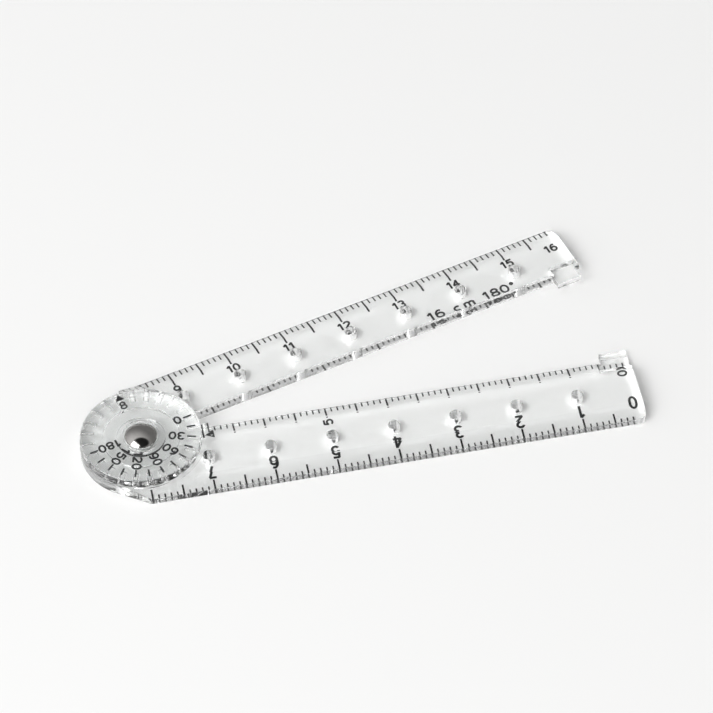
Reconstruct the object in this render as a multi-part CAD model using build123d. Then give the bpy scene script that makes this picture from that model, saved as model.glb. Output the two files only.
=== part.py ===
from build123d import *
import math
import os

# Folding pocket ruler with a protractor dial: two clear moulded arms on one rivet.
# Millimetres, +Z up. The origin is on the pivot axis, in the plane of the arms' undersides.
# +X runs along the dial arm. The pointer arm is shown opened by REST_OPEN.

# ---- driving dimensions ----
REST_OPEN = 15.0          # angle between the arms as built, one click stop

ARM_LEN = 80.0            # 8 cm of scale on each arm
EDGE_Y = 11.5             # distance from the pivot axis to each ruled edge
SPLIT_GAP = 0.2           # gap between the arms when the ruler is folded shut
SPLIT_Y = 1.4             # line where the two arms meet when shut
ARM_T = 2.2               # arm thickness
EDGE_T = 1.15             # thickness left at a bevelled ruled edge
BEVEL_W = 2.7             # width of that bevel
CORNER_R = 1.2            # rounded end corners

DISC_R = 9.7              # dial disc on the dial arm
DISC_Z0 = 2.2             # underside of the dial disc
DISC_Z1 = 3.65            # top face of the dial disc
DISC_ROUND = 0.4          # rounded rim of the dial disc
HUB_R = 9.8               # round end of the pointer arm, under the dial
HUB_TOP = 2.05            # its top face
CUT_R = 10.05             # hollow in the dial arm that goes round the hub
NECK_R = 12.2             # foot of the sloped neck from arm to dial

HOLE_R = 1.0              # pencil point holes, one at each centimetre
HOLE_Y = 5.5              # on the dial arm
POINTER_HOLE_Y = 5.25     # on the pointer arm

SHANK_R = 1.4             # rivet
BORE_R = 1.45             # running bore of the pointer arm
HEAD_R = 2.6
HEAD_POCKET_R = 2.95
HEAD_SEAT = 3.2           # seat of the rivet head inside the dial
HEAD_LIP = 0.1
HEAD_DOME = 1.0
CAP_R = 1.9               # pressed cap on the rivet's lower end
CAP_POCKET_R = 2.3
CAP_POCKET = 0.85
CAP_Z0 = 0.2
CAP_Z1 = 0.7

CLICKS = 24               # click notches, 15 degrees apart
CLICK_R0 = 7.5
CLICK_R1 = 10.05          # they run out at the rim
CLICK_W = 0.6             # radius of one notch
CLICK_DEEP = 0.25
RING_R0 = 3.9             # moulded groove round the pivot
RING_R1 = 6.2
RING_DEEP = 0.5

LIP_X = 75.6              # inner end of the pointer arm's snap lip
UPPER_LIP_X0 = 74.9       # the dial arm's snap lip
UPPER_LIP_X1 = 79.1
LIP_TOP = 1.0             # top of the pointer arm's lower lip
LIP_UNDER = 1.15          # underside of the dial arm's upper lip
LOWER_LIP_Y = 3.3         # how far the lower lip reaches under the dial arm
UPPER_LIP_Y = -0.8        # how far the upper lip reaches over the pointer arm
LIP_CLEAR = 0.2
SNAP_Y = 2.2              # groove along the lower lip
SNAP_W = 0.3
SNAP_DEEP = 0.35

INK = 0.05                # thickness of the filled markings
BITE = 0.01               # how far the fill is bonded into the plastic
TICK_W = 0.24
BOLD_W = 0.3
DIAL_ARM_TICKS = (1.15, 2.55)    # millimetre tick, half centimetre tick
OUTER_TICKS = (1.4, 2.55)        # the same on the pointer arm's outer edge
INNER_TICKS = (0.9, 1.85)         # and on its inner edge
DIAL_R0 = 7.4
DIAL_R1 = 8.8
DIAL_TICK_W = 0.3

os.makedirs("parts", exist_ok=True)


def block(x0, x1, y0, y1, z0, z1):
    """Box between two corners."""
    centre = ((x0 + x1) / 2, (y0 + y1) / 2, (z0 + z1) / 2)
    return Pos(*centre) * Box(x1 - x0, y1 - y0, z1 - z0)


def post(radius, z0, z1, x=0.0, y=0.0):
    """Upright cylinder."""
    return Pos(x, y, (z0 + z1) / 2) * Cylinder(radius, z1 - z0)


def slab(points, z0, z1):
    """Prism on a closed outline."""
    face = make_face(Polyline(*points, close=True))
    return Pos(0, 0, z0) * extrude(face, amount=z1 - z0)


def bevel_cutter(y_edge, inward, x0, x1):
    """Wedge that thins a ruled edge from ARM_T to EDGE_T."""
    y_in = y_edge + inward * BEVEL_W
    y_out = y_edge - inward * BEVEL_W
    z_out = EDGE_T - (ARM_T - EDGE_T)
    outline = [(y_in, ARM_T), (y_out, z_out), (y_out, ARM_T + 2.0), (y_in, ARM_T + 2.0)]
    wire = Polyline(*[(x0, y, z) for y, z in outline], close=True)
    return extrude(make_face(wire), amount=x1 - x0, dir=(1, 0, 0))


def turned(shape):
    """Move a pointer arm shape from its own frame to the pose as built."""
    return Rot(0, 0, -REST_OPEN) * shape


def write(name, shape):
    shape.label = name
    export_step(shape, os.path.join("parts", name + ".step"))


# ---- numerals: strokes on a 0.62 x 1.0 cell, thickened to an even line ----
def ring(cx, cy, rx, ry, w):
    outer = Pos(cx, cy) * Ellipse(rx + w / 2, ry + w / 2)
    inner = Pos(cx, cy) * Ellipse(rx - w / 2, ry - w / 2)
    return outer - inner


def bar(x0, y0, x1, y1, w):
    length = math.hypot(x1 - x0, y1 - y0)
    angle = math.degrees(math.atan2(y1 - y0, x1 - x0))
    middle = Pos((x0 + x1) / 2, (y0 + y1) / 2)
    return middle * Rot(0, 0, angle) * Rectangle(length + w * 0.5, w)


def bow(cx, cy, rx, ry, a0, a1, w):
    """Open curved stroke from angle a0 to a1, counter-clockwise."""
    steps = 12
    angles = [math.radians(a0 + (a1 - a0) * i / steps) for i in range(steps + 1)]
    outer = [(cx + (rx + w / 2) * math.cos(a), cy + (ry + w / 2) * math.sin(a)) for a in angles]
    inner = [(cx + (rx - w / 2) * math.cos(a), cy + (ry - w / 2) * math.sin(a)) for a in angles]
    return make_face(Polyline(*(outer + inner[::-1]), close=True))


def glyph(char, w, k):
    """One character 1.0 high, its cell 0.62 x k wide and centred on the origin."""
    if char == "0":
        return [ring(0, 0, 0.225 * k, 0.425, w)]
    if char == "1":
        return [bar(0.06, -0.42, 0.06, 0.42, w), bar(0.03, 0.42, -0.15 * k, 0.24, w)]
    if char == "2":
        return [bow(0, 0.2, 0.225 * k, 0.225, -35, 165, w), bar(0.19 * k, 0.07, -0.2 * k, -0.38, w),
                bar(-0.22 * k, -0.42, 0.22 * k, -0.42, w)]
    if char == "3":
        return [bow(-0.02, 0.215, 0.21 * k, 0.21, -92, 155, w),
                bow(-0.02, -0.2, 0.235 * k, 0.225, -155, 92, w)]
    if char == "4":
        return [bar(0.1 * k, -0.42, 0.1 * k, 0.42, w), bar(0.08 * k, 0.4, -0.24 * k, -0.16, w),
                bar(-0.24 * k, -0.19, 0.24 * k, -0.19, w)]
    if char == "5":
        return [bar(-0.15 * k, 0.42, 0.2 * k, 0.42, w), bar(-0.16 * k, 0.4, -0.2 * k, 0.02, w),
                bow(-0.01, -0.14, 0.23 * k, 0.28, -150, 140, w)]
    if char == "6":
        return [ring(0, -0.16, 0.225 * k, 0.265, w),
                bow(0.02, -0.05, 0.245 * k, 0.475, 60, 180, w)]
    if char == "7":
        return [bar(-0.2 * k, 0.42, 0.2 * k, 0.42, w), bar(0.2 * k, 0.38, -0.07 * k, -0.42, w)]
    if char == "8":
        return [ring(0, 0.215, 0.19 * k, 0.21, w), ring(0, -0.205, 0.225 * k, 0.22, w)]
    if char == "9":
        return [ring(0, 0.16, 0.225 * k, 0.265, w),
                bow(-0.02, 0.05, 0.245 * k, 0.475, 240, 360, w)]
    if char == "c":
        return [bow(0, -0.18, 0.2 * k, 0.245, 50, 310, w)]
    if char == "m":
        return [bar(-0.3 * k, -0.42, -0.3 * k, 0.06, w), bar(0, -0.42, 0, 0.0, w),
                bar(0.3 * k, -0.42, 0.3 * k, 0.0, w), bow(-0.15 * k, -0.08, 0.15 * k, 0.15, 0, 180, w),
                bow(0.15 * k, -0.08, 0.15 * k, 0.15, 0, 180, w)]
    if char == "o":
        return [ring(0, 0.3, 0.12, 0.11, w * 0.8)]
    return []


ADVANCE = {"1": 0.5, "m": 0.95, "o": 0.45, " ": 0.5}


def text(word, height, x, y, turn, z, w, k):
    """Solids of a short word centred at x, y, turned by turn degrees, from z[0] to z[1]."""
    widths = [ADVANCE.get(c, 0.66) * k for c in word]
    at = -sum(widths) / 2
    place = Pos(x, y, z[0]) * Rot(0, 0, turn)
    solids = []
    for char, width in zip(word, widths):
        strokes = glyph(char, w, k)
        if strokes:
            face = strokes[0]
            for stroke in strokes[1:]:
                face = face + stroke
            face = scale(face, by=height)
            body = extrude(Pos((at + width / 2) * height, 0) * face, amount=z[1] - z[0])
            solids += (place * body).solids()
        at += width
    return solids


def tick(x, y_edge, inward, length, z0, z1, w):
    y_in = y_edge + inward * length
    return block(x - w / 2, x + w / 2, min(y_edge, y_in), max(y_edge, y_in), z0, z1)


def triangle(tip, base_a, base_b, z0, z1):
    return slab([tip, base_a, base_b], z0, z1)


# ---- markings, in each arm's own frame ----
# The arms are marked on their undersides, the dial on its top face.
DIAL_WIDE = 1.35          # width of the numerals against the plain cell
ARM_WIDE = 1.25
POINTER_WIDE = 1.1
LABEL_WIDE = 1.5
BOT = (0.0, INK)
TOP = (DISC_Z1 - INK, DISC_Z1)


def scale_marks(first, last, y_edge, inward, lengths, z, x_of):
    marks = []
    for mm in range(first, last + 1):
        long_one = mm % 5 == 0
        length = lengths[1] if long_one else lengths[0]
        width = BOLD_W if long_one else TICK_W
        marks.append(tick(x_of(mm), y_edge, inward, length, z[0], z[1], width))
    return marks


def sector_marks(z):
    marks = []
    for i in range(13):
        line = block(DIAL_R0, DIAL_R1, -DIAL_TICK_W / 2, DIAL_TICK_W / 2, z[0], z[1])
        marks.append(Rot(0, 0, -15.0 * i) * line)
    return marks


def dial_words(z):
    solids = []
    for i, deg in enumerate(range(0, 181, 30)):
        word = str(deg)
        reach = 6.4 if deg == 0 else 5.75 if deg <= 90 else 5.45
        a = math.radians(-deg)
        turn = -deg + 180 if deg < 90 else -deg
        solids += text(word, 1.55, reach * math.cos(a), reach * math.sin(a), turn, z, 0.22, DIAL_WIDE)
    return solids


def arm_numbers(z):
    solids = []
    for cm in range(9, 16):
        solids += text(str(cm), 1.6, (cm - 8) * 10.0, 8.0, 0, z, 0.21, ARM_WIDE)
    solids += text("16", 1.6, 78.1, 7.8, 0, z, 0.21, ARM_WIDE)
    return solids


def pointer_numbers(z):
    solids = []
    for cm in range(1, 8):
        solids += text(str(cm), 2.1, 80.0 - cm * 10.0, -7.65, 180, z, 0.2, POINTER_WIDE)
    solids += text("0", 2.1, 78.6, -7.5, 180, z, 0.2, POINTER_WIDE)
    return solids


def inner_numbers(z):
    solids = text("0", 1.6, 78.4, -1.35, 90, z, 0.21, DIAL_WIDE)
    solids += text("5", 1.6, 30.0, -1.55, 90, z, 0.21, DIAL_WIDE)
    return solids


def fill_and_pocket(make):
    """The ink solids, and the slightly shallower pockets that they fill."""
    return make(BOT), make((-0.01, INK - BITE))


def dial_scale(z):
    return scale_marks(82, 159, EDGE_Y - 0.02, -1, DIAL_ARM_TICKS, z, lambda mm: mm - 80.0)


def pointer_scale(z):
    return scale_marks(2, 80, -EDGE_Y + 0.02, 1, OUTER_TICKS, z, lambda mm: 80.0 - mm)


def inner_scale(z):
    y = SPLIT_Y - SPLIT_GAP / 2 - 0.02
    return scale_marks(1, 70, y, -1, INNER_TICKS, z, lambda mm: 80.0 - mm)


def size_label(z):
    return text("16 cm 180o", 1.8, 61.0, 3.3, 0, z, 0.2, LABEL_WIDE)


def pointer_mark(z):
    return [triangle((10.2, -0.1), (11.7, 0.65), (11.7, -0.85), z[0], z[1])]


def index_mark(z):
    solids = [triangle((0.0, 9.15), (-0.75, 7.9), (0.75, 7.9), z[0], z[1])]
    return solids + text("8", 1.6, 0.0, 6.75, 0, z, 0.19, ARM_WIDE)


# ---- dial arm ----
flank = (math.sqrt(1 - (HUB_R / EDGE_Y) ** 2), HUB_R / EDGE_Y)
near_y = SPLIT_Y + SPLIT_GAP / 2
footprint = [(1.2, EDGE_Y), (ARM_LEN, EDGE_Y), (ARM_LEN, near_y), (4.0, near_y), (4.0, 8.6), (1.2, 9.6)]
plate = slab(footprint, 0, ARM_T)
plate = fillet(plate.edges().filter_by(Axis.Z).sort_by_distance((ARM_LEN, EDGE_Y, 1))[0], CORNER_R)
plate -= bevel_cutter(EDGE_Y, -1, -1, ARM_LEN + 1)
neck_outline = [(8.9, DISC_Z0), (CUT_R, DISC_Z0), (CUT_R, 0.6), (NECK_R, 0.6), (NECK_R, 1.15),
                (DISC_R, 2.95), (8.9, 2.95)]
neck = revolve(make_face(Polyline(*[(r, 0, z) for r, z in neck_outline], close=True)), Axis.Z)
neck &= slab(footprint, 0, 4)
hub_path = post(CUT_R, -1, DISC_Z0)
flank_mid = (CUT_R * flank[0] - 4 * flank[1], CUT_R * flank[1] + 4 * flank[0])
turn = math.degrees(math.atan2(flank[1], flank[0]))
flank_path = Rot(0, 0, turn) * block(0, CUT_R, 0, 8, -1, DISC_Z0)
dial = post(DISC_R, DISC_Z0, DISC_Z1)
dial = fillet(dial.edges().group_by(Axis.Z)[-1], DISC_ROUND)
dial_arm = (plate - hub_path - flank_path) + (neck - flank_path) + dial
dial_arm -= post(HEAD_POCKET_R, HEAD_SEAT, DISC_Z1 + 1)
dial_arm -= post(SHANK_R, DISC_Z0 - 1, DISC_Z1)
groove = post(RING_R1, DISC_Z0 - 0.1, DISC_Z0 + RING_DEEP) - post(RING_R0, DISC_Z0 - 0.2, DISC_Z1)
dial_arm -= groove
notch_mid = (CLICK_R0 + CLICK_R1) / 2
notch = Rot(0, 90, 0) * Cylinder(CLICK_W, CLICK_R1 - CLICK_R0)
notch = Pos(notch_mid, 0, DISC_Z0 - CLICK_W + CLICK_DEEP) * notch
for i in range(CLICKS):
    dial_arm -= Rot(0, 0, 360.0 / CLICKS * i) * notch
for cm in range(9, 16):
    dial_arm -= post(HOLE_R, -1, 4.0, (cm - 8) * 10.0, HOLE_Y)
dial_arm -= block(LIP_X - LIP_CLEAR, ARM_LEN + 1, near_y - 1, LOWER_LIP_Y + LIP_CLEAR, -1, LIP_UNDER)
dial_arm += block(UPPER_LIP_X0, UPPER_LIP_X1, UPPER_LIP_Y, near_y + 0.5, LIP_UNDER, ARM_T)

ticks, pockets = fill_and_pocket(dial_scale)
numbers, number_pockets = fill_and_pocket(arm_numbers)
label, label_pockets = fill_and_pocket(size_label)
top_pocket = (TOP[0] + BITE, TOP[1] + 0.01)
for group in (pockets, number_pockets, label_pockets, sector_marks(top_pocket),
              dial_words(top_pocket), index_mark(top_pocket)):
    dial_arm -= group
write("dial_arm", dial_arm.solids()[0] if len(dial_arm.solids()) == 1 else dial_arm)
write("dial_arm_ticks", Compound(children=ticks))
write("dial_arm_numbers", Compound(children=numbers))
write("dial_arm_size_label", Compound(children=label))
write("dial_ticks", Compound(children=sector_marks(TOP)))
write("dial_numbers", Compound(children=dial_words(TOP)))
write("dial_index_mark", Compound(children=index_mark(TOP)))

# ---- pointer arm, in its own frame with its length along +X ----
far_y = SPLIT_Y - SPLIT_GAP / 2
tangent = (-HUB_R * flank[0], -HUB_R * flank[1])
body = slab([(-0.3, -EDGE_Y), (ARM_LEN, -EDGE_Y), (ARM_LEN, far_y), (5.0, far_y), (0, 0), tangent], 0, ARM_T)
corner = body.edges().filter_by(Axis.Z).sort_by_distance((ARM_LEN, -EDGE_Y, 1))[0]
body = fillet(corner, CORNER_R)
body -= bevel_cutter(-EDGE_Y, 1, -6, ARM_LEN + 1)
body -= bevel_cutter(far_y, -1, DISC_R + 1.3, UPPER_LIP_X0 - LIP_CLEAR)
body -= post(DISC_R + 0.6, HUB_TOP, ARM_T + 1)
pointer = body + post(HUB_R, 0, HUB_TOP)
pointer -= post(BORE_R, -1, 4)
pointer -= post(CAP_POCKET_R, -1, CAP_POCKET)
bump = Sphere(1.0) & block(-2, 2, -2, 2, 0.9, 2)
for side in (90, 270):
    at = Rot(0, 0, side) * Pos(8.3, 0, HUB_TOP - 0.9)
    pointer += at * (bump - post(2, -2, 0.9))
for cm in range(1, 8):
    pointer -= post(HOLE_R, -1, 4.0, 80.0 - cm * 10.0, -POINTER_HOLE_Y)
recess_x = UPPER_LIP_X0 - LIP_CLEAR
pointer -= block(recess_x, ARM_LEN + 1, UPPER_LIP_Y - LIP_CLEAR, far_y + 1, LIP_TOP, ARM_T + 1)
pointer += block(LIP_X, ARM_LEN, far_y - 1.5, LOWER_LIP_Y, 0, LIP_TOP)
snap_floor = LIP_TOP - SNAP_DEEP
pointer -= block(LIP_X, ARM_LEN + 1, SNAP_Y - SNAP_W / 2, SNAP_Y + SNAP_W / 2, snap_floor, ARM_T)

near_fill, near_pockets = fill_and_pocket(pointer_scale)
near_words, near_word_pockets = fill_and_pocket(pointer_numbers)
far_fill, far_pockets = fill_and_pocket(inner_scale)
far_words, far_word_pockets = fill_and_pocket(inner_numbers)
mark, mark_pocket = fill_and_pocket(pointer_mark)
for group in (near_pockets, near_word_pockets, far_pockets, far_word_pockets, mark_pocket):
    pointer -= group
write("pointer_arm", turned(pointer))
write("pointer_arm_ticks", turned(Compound(children=near_fill)))
write("pointer_arm_numbers", turned(Compound(children=near_words)))
write("pointer_arm_inner_ticks", turned(Compound(children=far_fill)))
write("pointer_arm_inner_numbers", turned(Compound(children=far_words)))
write("pointer_mark", turned(Compound(children=mark)))

# ---- rivet ----
dome_r = (HEAD_R ** 2 + HEAD_DOME ** 2) / (2 * HEAD_DOME)
dome_z = HEAD_SEAT + HEAD_LIP
dome = Pos(0, 0, dome_z + HEAD_DOME - dome_r) * Sphere(dome_r)
dome &= post(HEAD_R, dome_z, dome_z + HEAD_DOME + 1)
rivet = post(HEAD_R, HEAD_SEAT, dome_z) + dome + post(SHANK_R, CAP_Z1 - 0.3, HEAD_SEAT)
write("pivot_rivet", rivet)
cap = post(CAP_R, CAP_Z0, CAP_Z1)
cap = chamfer(cap.edges().group_by(Axis.Z)[0], 0.2)
cap -= post(SHANK_R, CAP_Z1 - 0.3, CAP_Z1 + 1)
write("rivet_back_cap", cap)
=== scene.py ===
import math

import bpy
from mathutils import Matrix, Vector


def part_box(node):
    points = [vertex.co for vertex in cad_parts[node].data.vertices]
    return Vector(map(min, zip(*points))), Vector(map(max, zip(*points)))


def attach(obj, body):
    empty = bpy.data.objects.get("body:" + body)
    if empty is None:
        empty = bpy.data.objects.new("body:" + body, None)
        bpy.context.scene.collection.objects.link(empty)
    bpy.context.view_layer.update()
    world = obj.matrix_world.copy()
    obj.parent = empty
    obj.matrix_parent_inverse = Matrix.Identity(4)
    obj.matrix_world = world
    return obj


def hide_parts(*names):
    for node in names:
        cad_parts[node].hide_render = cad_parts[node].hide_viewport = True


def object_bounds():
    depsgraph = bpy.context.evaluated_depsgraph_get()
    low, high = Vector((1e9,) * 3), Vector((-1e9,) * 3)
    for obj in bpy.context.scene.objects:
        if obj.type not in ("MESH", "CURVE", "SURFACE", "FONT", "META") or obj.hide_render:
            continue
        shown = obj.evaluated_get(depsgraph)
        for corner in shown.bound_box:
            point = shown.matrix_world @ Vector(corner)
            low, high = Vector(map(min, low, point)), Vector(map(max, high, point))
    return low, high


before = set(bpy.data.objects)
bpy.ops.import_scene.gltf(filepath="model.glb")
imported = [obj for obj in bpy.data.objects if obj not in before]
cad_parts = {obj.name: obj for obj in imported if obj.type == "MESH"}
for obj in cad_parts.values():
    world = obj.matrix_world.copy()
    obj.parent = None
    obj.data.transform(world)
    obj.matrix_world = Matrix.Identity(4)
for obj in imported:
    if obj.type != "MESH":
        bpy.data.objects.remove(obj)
cad_low, cad_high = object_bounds()
bpy.ops.object.select_all(action="DESELECT")
scene = bpy.context.scene
scene.view_settings.view_transform = "Standard"


# The table. A plain sheet of white card that both arms lie flat on, long enough
# to run out of view on every side. It is not part of the ruler.
CARD_HALF = 1.2
CARD_DROP = 0.00002
CARD_WHITE = (0.86, 0.86, 0.855, 1.0)

bpy.ops.mesh.primitive_plane_add(size=2 * CARD_HALF, location=(0, 0, cad_low.z - CARD_DROP))
card = bpy.context.object
card.name = "card_floor"
bpy.ops.object.transform_apply(location=True, rotation=True, scale=True)
card_paint = bpy.data.materials.new("white_card")
card_paint.use_nodes = True
card_shader = card_paint.node_tree.nodes["Principled BSDF"]
card_shader.inputs["Base Color"].default_value = CARD_WHITE
card_shader.inputs["Roughness"].default_value = 0.9
card_shader.inputs["Specular IOR Level"].default_value = 0.0
card.data.materials.append(card_paint)


# The studio. A grey room, bright on the window side at the left and near, and dark
# where a person stands at the table, so that the clear edges and the rivet's dome have
# something to mirror.
WINDOW_SIDE = (-0.80, -0.30, 0.52)
PERSON_SIDE = (-0.133, -0.279, 0.951)
PERSON_ACROSS = (0.902, -0.432, 0.0)
PERSON_UP = (0.411, 0.858, 0.309)
ROOM_STRENGTH = 1.34

scene.cycles.max_bounces = 32
scene.cycles.blur_glossy = 0.0
scene.cycles.transmission_bounces = 32
scene.cycles.glossy_bounces = 24
scene.cycles.diffuse_bounces = 4
room = bpy.data.worlds.new("grey_room")
scene.world = room
room.use_nodes = True
nodes = room.node_tree.nodes
links = room.node_tree.links
look = nodes.new("ShaderNodeTexCoord")


def look_along(direction):
    along = nodes.new("ShaderNodeVectorMath")
    along.operation = "DOT_PRODUCT"
    links.new(look.outputs["Generated"], along.inputs[0])
    along.inputs[1].default_value = Vector(direction).normalized()
    return along.outputs["Value"]


def combine(operation, first, second):
    step = nodes.new("ShaderNodeMath")
    step.operation = operation
    for socket, value in zip(step.inputs, (first, second)):
        if isinstance(value, (int, float)):
            socket.default_value = value
        else:
            links.new(value, socket)
    return step.outputs[0]


sweep = nodes.new("ShaderNodeMapRange")
sweep.inputs["From Min"].default_value = -1.0
links.new(look_along(WINDOW_SIDE), sweep.inputs["Value"])
walls = nodes.new("ShaderNodeValToRGB")
walls.color_ramp.interpolation = "EASE"
walls.color_ramp.elements[0].position = 0.35
walls.color_ramp.elements[0].color = (0.26, 0.26, 0.26, 1)
walls.color_ramp.elements[1].position = 0.95
walls.color_ramp.elements[1].color = (1.0, 1.0, 1.0, 1)
links.new(sweep.outputs[0], walls.inputs[0])
sideways = combine("POWER", combine("DIVIDE", look_along(PERSON_ACROSS), 0.62), 2.0)
lengthways = combine("POWER", combine("DIVIDE", look_along(PERSON_UP), 0.42), 2.0)
behind = combine("LESS_THAN", look_along(PERSON_SIDE), 0.0)
off_person = combine("ADD", combine("ADD", sideways, lengthways), combine("MULTIPLY", behind, 9.0))
person = nodes.new("ShaderNodeMapRange")
person.interpolation_type = "SMOOTHSTEP"
person.inputs["From Min"].default_value = 0.7
person.inputs["From Max"].default_value = 1.3
person.inputs["To Min"].default_value = 0.03
person.inputs["To Max"].default_value = 1.0
links.new(off_person, person.inputs["Value"])
strength = combine("MULTIPLY", person.outputs[0], ROOM_STRENGTH)
links.new(walls.outputs[0], nodes["Background"].inputs["Color"])
links.new(strength, nodes["Background"].inputs["Strength"])


def softbox(name, place, aim, width, height, watts):
    data = bpy.data.lights.new(name, "AREA")
    data.shape = "RECTANGLE"
    data.size = width
    data.size_y = height
    data.energy = watts
    lamp = bpy.data.objects.new(name, data)
    scene.collection.objects.link(lamp)
    lamp.location = place
    lamp.rotation_mode = "QUATERNION"
    lamp.rotation_quaternion = (Vector(aim) - Vector(place)).to_track_quat("-Z", "Y")
    return lamp


softbox("window_left", (-0.90, -0.28, 0.95), (0.03, 0, 0), 0.9, 0.8, 13.4)


# The camera. It looks down on the ruler from its near left side, from about
# 65 cm away through a long lens, with the slight tilt of a hand-held view.
AIM = Vector((0.03916, 0.00192, 0.0))
DISTANCE = 0.64607
AZIMUTH = math.radians(-25.58)
ELEVATION = math.radians(48.87)
ROLL = math.radians(-1.14)
LENS = 200.71

back = Vector((
    math.sin(AZIMUTH) * math.cos(ELEVATION),
    -math.cos(AZIMUTH) * math.cos(ELEVATION),
    math.sin(ELEVATION),
))
level = Vector((math.cos(AZIMUTH), math.sin(AZIMUTH), 0))
upward = back.cross(level)
across = math.cos(ROLL) * level + math.sin(ROLL) * upward
upright = back.cross(across)
camera_data = bpy.data.cameras.new("studio_camera")
camera_data.lens = LENS
camera_data.sensor_width = 36.0
camera_data.clip_start = 0.01
camera_data.clip_end = 20.0
camera = bpy.data.objects.new("studio_camera", camera_data)
scene.collection.objects.link(camera)
camera.matrix_world = Matrix.Translation(AIM + DISTANCE * back) @ Matrix((
    across, upright, back)).transposed().to_4x4()
scene.camera = camera


# The two arms. Each is one clear acrylic moulding, polished all over: the dial arm
# carries the raised dial and the pointer arm turns under it.
ACRYLIC_IOR = 1.49
ACRYLIC_TINT = (0.955, 0.96, 0.958, 1.0)

acrylic = bpy.data.materials.new("clear_acrylic")
acrylic.use_nodes = True
nodes = acrylic.node_tree.nodes
links = acrylic.node_tree.links
shader = nodes["Principled BSDF"]
shader.inputs["Base Color"].default_value = ACRYLIC_TINT
acrylic_place = nodes.new("ShaderNodeTexCoord")
handled = nodes.new("ShaderNodeTexNoise")
handled.inputs["Scale"].default_value = 160.0
handled.inputs["Detail"].default_value = 4.0
links.new(acrylic_place.outputs["Object"], handled.inputs["Vector"])
polish = nodes.new("ShaderNodeMapRange")
polish.inputs["From Min"].default_value = 0.35
polish.inputs["From Max"].default_value = 0.75
polish.inputs["To Min"].default_value = 0.004
polish.inputs["To Max"].default_value = 0.05
links.new(handled.outputs["Fac"], polish.inputs["Value"])
links.new(polish.outputs[0], shader.inputs["Roughness"])
ripple = nodes.new("ShaderNodeTexNoise")
ripple.inputs["Scale"].default_value = 220.0
ripple.inputs["Detail"].default_value = 1.0
links.new(acrylic_place.outputs["Object"], ripple.inputs["Vector"])
sink = nodes.new("ShaderNodeBump")
sink.inputs["Strength"].default_value = 0.25
sink.inputs["Distance"].default_value = 0.00004
links.new(ripple.outputs["Fac"], sink.inputs["Height"])
links.new(sink.outputs[0], shader.inputs["Normal"])
shader.inputs["IOR"].default_value = ACRYLIC_IOR
shader.inputs["Transmission Weight"].default_value = 1.0

for arm in ("dial_arm", "pointer_arm"):
    arm_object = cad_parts[arm]
    arm_object.data.materials.clear()
    arm_object.data.materials.append(acrylic)


# The graduations and numbers. Shallow sunk lines filled with black ink, on the
# undersides of the arms and on top of the dial. The ink is bonded in its lines.
ink = bpy.data.materials.new("black_ink")
ink.use_nodes = True
ink_shader = ink.node_tree.nodes["Principled BSDF"]
nodes = ink.node_tree.nodes
links = ink.node_tree.links
ink_place = nodes.new("ShaderNodeTexCoord")
ink_grain = nodes.new("ShaderNodeTexNoise")
ink_grain.inputs["Scale"].default_value = 5000.0
ink_grain.inputs["Detail"].default_value = 3.0
links.new(ink_place.outputs["Object"], ink_grain.inputs["Vector"])
ink_tone = nodes.new("ShaderNodeValToRGB")
ink_tone.color_ramp.elements[0].position = 0.35
ink_tone.color_ramp.elements[0].color = (0.006, 0.006, 0.007, 1)
ink_tone.color_ramp.elements[1].position = 0.8
ink_tone.color_ramp.elements[1].color = (0.022, 0.022, 0.023, 1)
links.new(ink_grain.outputs["Fac"], ink_tone.inputs[0])
links.new(ink_tone.outputs[0], ink_shader.inputs["Base Color"])
ink_rough = nodes.new("ShaderNodeMapRange")
ink_rough.inputs["To Min"].default_value = 0.5
ink_rough.inputs["To Max"].default_value = 0.75
links.new(ink_grain.outputs["Fac"], ink_rough.inputs["Value"])
links.new(ink_rough.outputs[0], ink_shader.inputs["Roughness"])

MARKINGS = (
    "dial_arm_ticks", "dial_arm_numbers", "dial_arm_size_label",
    "dial_ticks", "dial_numbers", "dial_index_mark",
    "pointer_arm_ticks", "pointer_arm_numbers", "pointer_arm_inner_ticks",
    "pointer_arm_inner_numbers", "pointer_mark",
)
for marking in MARKINGS:
    marking_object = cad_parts[marking]
    marking_object.data.materials.clear()
    marking_object.data.materials.append(ink)


# The rivet. A turned steel pin through both arms. Its domed head, polished and
# nickel plated, sits in a shallow pocket in the middle of the dial. Its shank is
# bare bright steel.
RIVET_SIDES = 96
SHANK_RADIUS = 0.0014
HEAD_RADIUS = 0.0026
HEAD_SEAT = 0.0032
SEAT_MARGIN = 0.00001
HEAD_LIP = 0.0001
HEAD_EDGE = 0.00004
DOME_RISE = 0.001
DOME_STEPS = 18

rivet_low, rivet_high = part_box("pivot_rivet")
shank_length = HEAD_SEAT - rivet_low.z
bpy.ops.object.select_all(action="DESELECT")
bpy.ops.mesh.primitive_cylinder_add(
    vertices=RIVET_SIDES, radius=SHANK_RADIUS, depth=shank_length,
    location=(0, 0, rivet_low.z + shank_length / 2))
rivet = bpy.context.object
rivet.name = "rivet_polished"
bpy.ops.object.transform_apply(location=True, rotation=True, scale=True)
bpy.ops.object.mode_set(mode="EDIT")
bpy.ops.mesh.select_all(action="DESELECT")
bpy.ops.object.mode_set(mode="OBJECT")
for face in rivet.data.polygons:
    face.select = face.normal.z > 0.9
bpy.ops.object.mode_set(mode="EDIT")
bpy.ops.mesh.select_mode(type="FACE")


def next_ring(from_radius, to_radius, rise):
    bpy.ops.mesh.extrude_region_move(TRANSFORM_OT_translate={"value": (0, 0, rise)})
    size = to_radius / from_radius
    bpy.ops.transform.resize(value=(size, size, 1), center_override=(0, 0, 0))


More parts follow.
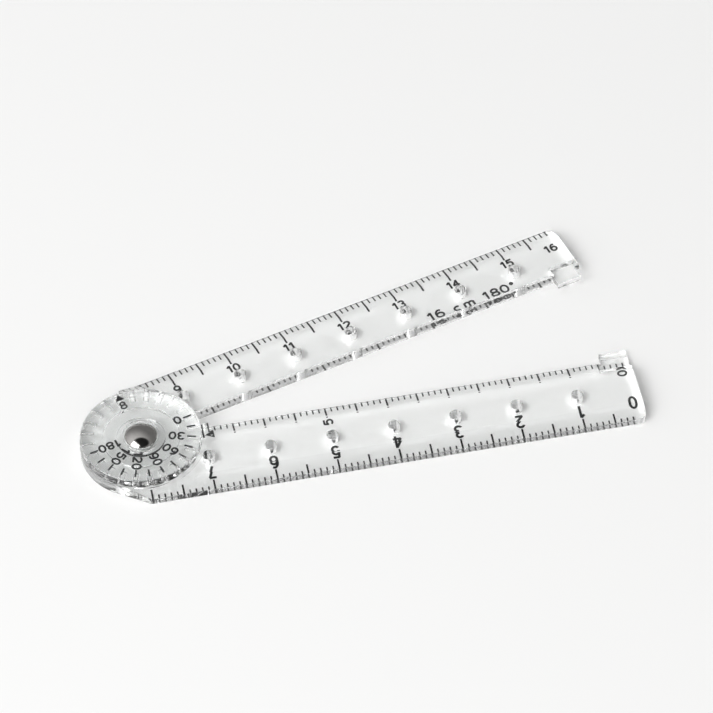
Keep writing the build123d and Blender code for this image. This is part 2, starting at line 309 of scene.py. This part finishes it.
next_ring(SHANK_RADIUS, HEAD_RADIUS - HEAD_EDGE, 0)
next_ring(HEAD_RADIUS - HEAD_EDGE, HEAD_RADIUS, HEAD_EDGE)
next_ring(HEAD_RADIUS, HEAD_RADIUS, HEAD_LIP - HEAD_EDGE)
dome_sphere = (HEAD_RADIUS ** 2 + DOME_RISE ** 2) / (2 * DOME_RISE)
full_lean = math.asin(HEAD_RADIUS / dome_sphere)
ring_radius, ring_height = HEAD_RADIUS, 0.0
for ring in range(1, DOME_STEPS):
    lean = full_lean * (1 - ring / DOME_STEPS)
    radius = dome_sphere * math.sin(lean)
    height = DOME_RISE - dome_sphere * (1 - math.cos(lean))
    next_ring(ring_radius, radius, height - ring_height)
    ring_radius, ring_height = radius, height
bpy.ops.mesh.extrude_region_move(TRANSFORM_OT_translate={"value": (0, 0, DOME_RISE - ring_height)})
bpy.ops.mesh.merge(type="CENTER")
bpy.ops.mesh.select_all(action="SELECT")
bpy.ops.mesh.normals_make_consistent(inside=False)
bpy.ops.object.mode_set(mode="OBJECT")
bpy.ops.object.shade_smooth_by_angle(angle=math.radians(35))

nickel = bpy.data.materials.new("polished_nickel")
nickel.use_nodes = True
nodes = nickel.node_tree.nodes
links = nickel.node_tree.links
nickel_shader = nodes["Principled BSDF"]
nickel_shader.inputs["Metallic"].default_value = 1.0
nickel_place = nodes.new("ShaderNodeTexCoord")
turning_marks = nodes.new("ShaderNodeTexWave")
turning_marks.wave_type = "RINGS"
turning_marks.rings_direction = "Z"
turning_marks.inputs["Scale"].default_value = 2200.0
turning_marks.inputs["Distortion"].default_value = 1.5
turning_marks.inputs["Detail"].default_value = 2.0
links.new(nickel_place.outputs["Object"], turning_marks.inputs["Vector"])
nickel_rough = nodes.new("ShaderNodeMapRange")
nickel_rough.inputs["To Min"].default_value = 0.07
nickel_rough.inputs["To Max"].default_value = 0.13
links.new(turning_marks.outputs["Fac"], nickel_rough.inputs["Value"])
links.new(nickel_rough.outputs[0], nickel_shader.inputs["Roughness"])
handling = nodes.new("ShaderNodeTexNoise")
handling.inputs["Scale"].default_value = 900.0
handling.inputs["Detail"].default_value = 3.0
links.new(nickel_place.outputs["Object"], handling.inputs["Vector"])
nickel_tone = nodes.new("ShaderNodeValToRGB")
nickel_tone.color_ramp.elements[0].position = 0.3
nickel_tone.color_ramp.elements[0].color = (0.32, 0.31, 0.30, 1)
nickel_tone.color_ramp.elements[1].position = 0.7
nickel_tone.color_ramp.elements[1].color = (0.37, 0.36, 0.35, 1)
links.new(handling.outputs["Fac"], nickel_tone.inputs[0])
links.new(nickel_tone.outputs[0], nickel_shader.inputs["Base Color"])
rivet.data.materials.append(nickel)
bright_steel = bpy.data.materials.new("bright_steel")
bright_steel.use_nodes = True
steel_shader = bright_steel.node_tree.nodes["Principled BSDF"]
steel_shader.inputs["Metallic"].default_value = 1.0
nodes = bright_steel.node_tree.nodes
links = bright_steel.node_tree.links
steel_place = nodes.new("ShaderNodeTexCoord")
steel_grain = nodes.new("ShaderNodeTexNoise")
steel_grain.inputs["Scale"].default_value = 1500.0
links.new(steel_place.outputs["Object"], steel_grain.inputs["Vector"])
steel_tone = nodes.new("ShaderNodeValToRGB")
steel_tone.color_ramp.elements[0].color = (0.86, 0.86, 0.85, 1)
steel_tone.color_ramp.elements[1].color = (0.93, 0.93, 0.92, 1)
links.new(steel_grain.outputs["Fac"], steel_tone.inputs[0])
links.new(steel_tone.outputs[0], steel_shader.inputs["Base Color"])
steel_rough = nodes.new("ShaderNodeMapRange")
steel_rough.inputs["To Min"].default_value = 0.35
steel_rough.inputs["To Max"].default_value = 0.5
links.new(steel_grain.outputs["Fac"], steel_rough.inputs["Value"])
links.new(steel_rough.outputs[0], steel_shader.inputs["Roughness"])
rivet.data.materials.append(bright_steel)
for face in rivet.data.polygons:
    face.material_index = 1 if face.center.z < HEAD_SEAT - SEAT_MARGIN else 0
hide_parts("pivot_rivet")
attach(rivet, "dial_side")


# The back cap. A small pressed steel cup that closes the rivet from below, inside
# its own pocket, so that it never touches the table.
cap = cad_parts["rivet_back_cap"]
cap.data.materials.clear()
cap.data.materials.append(bright_steel)
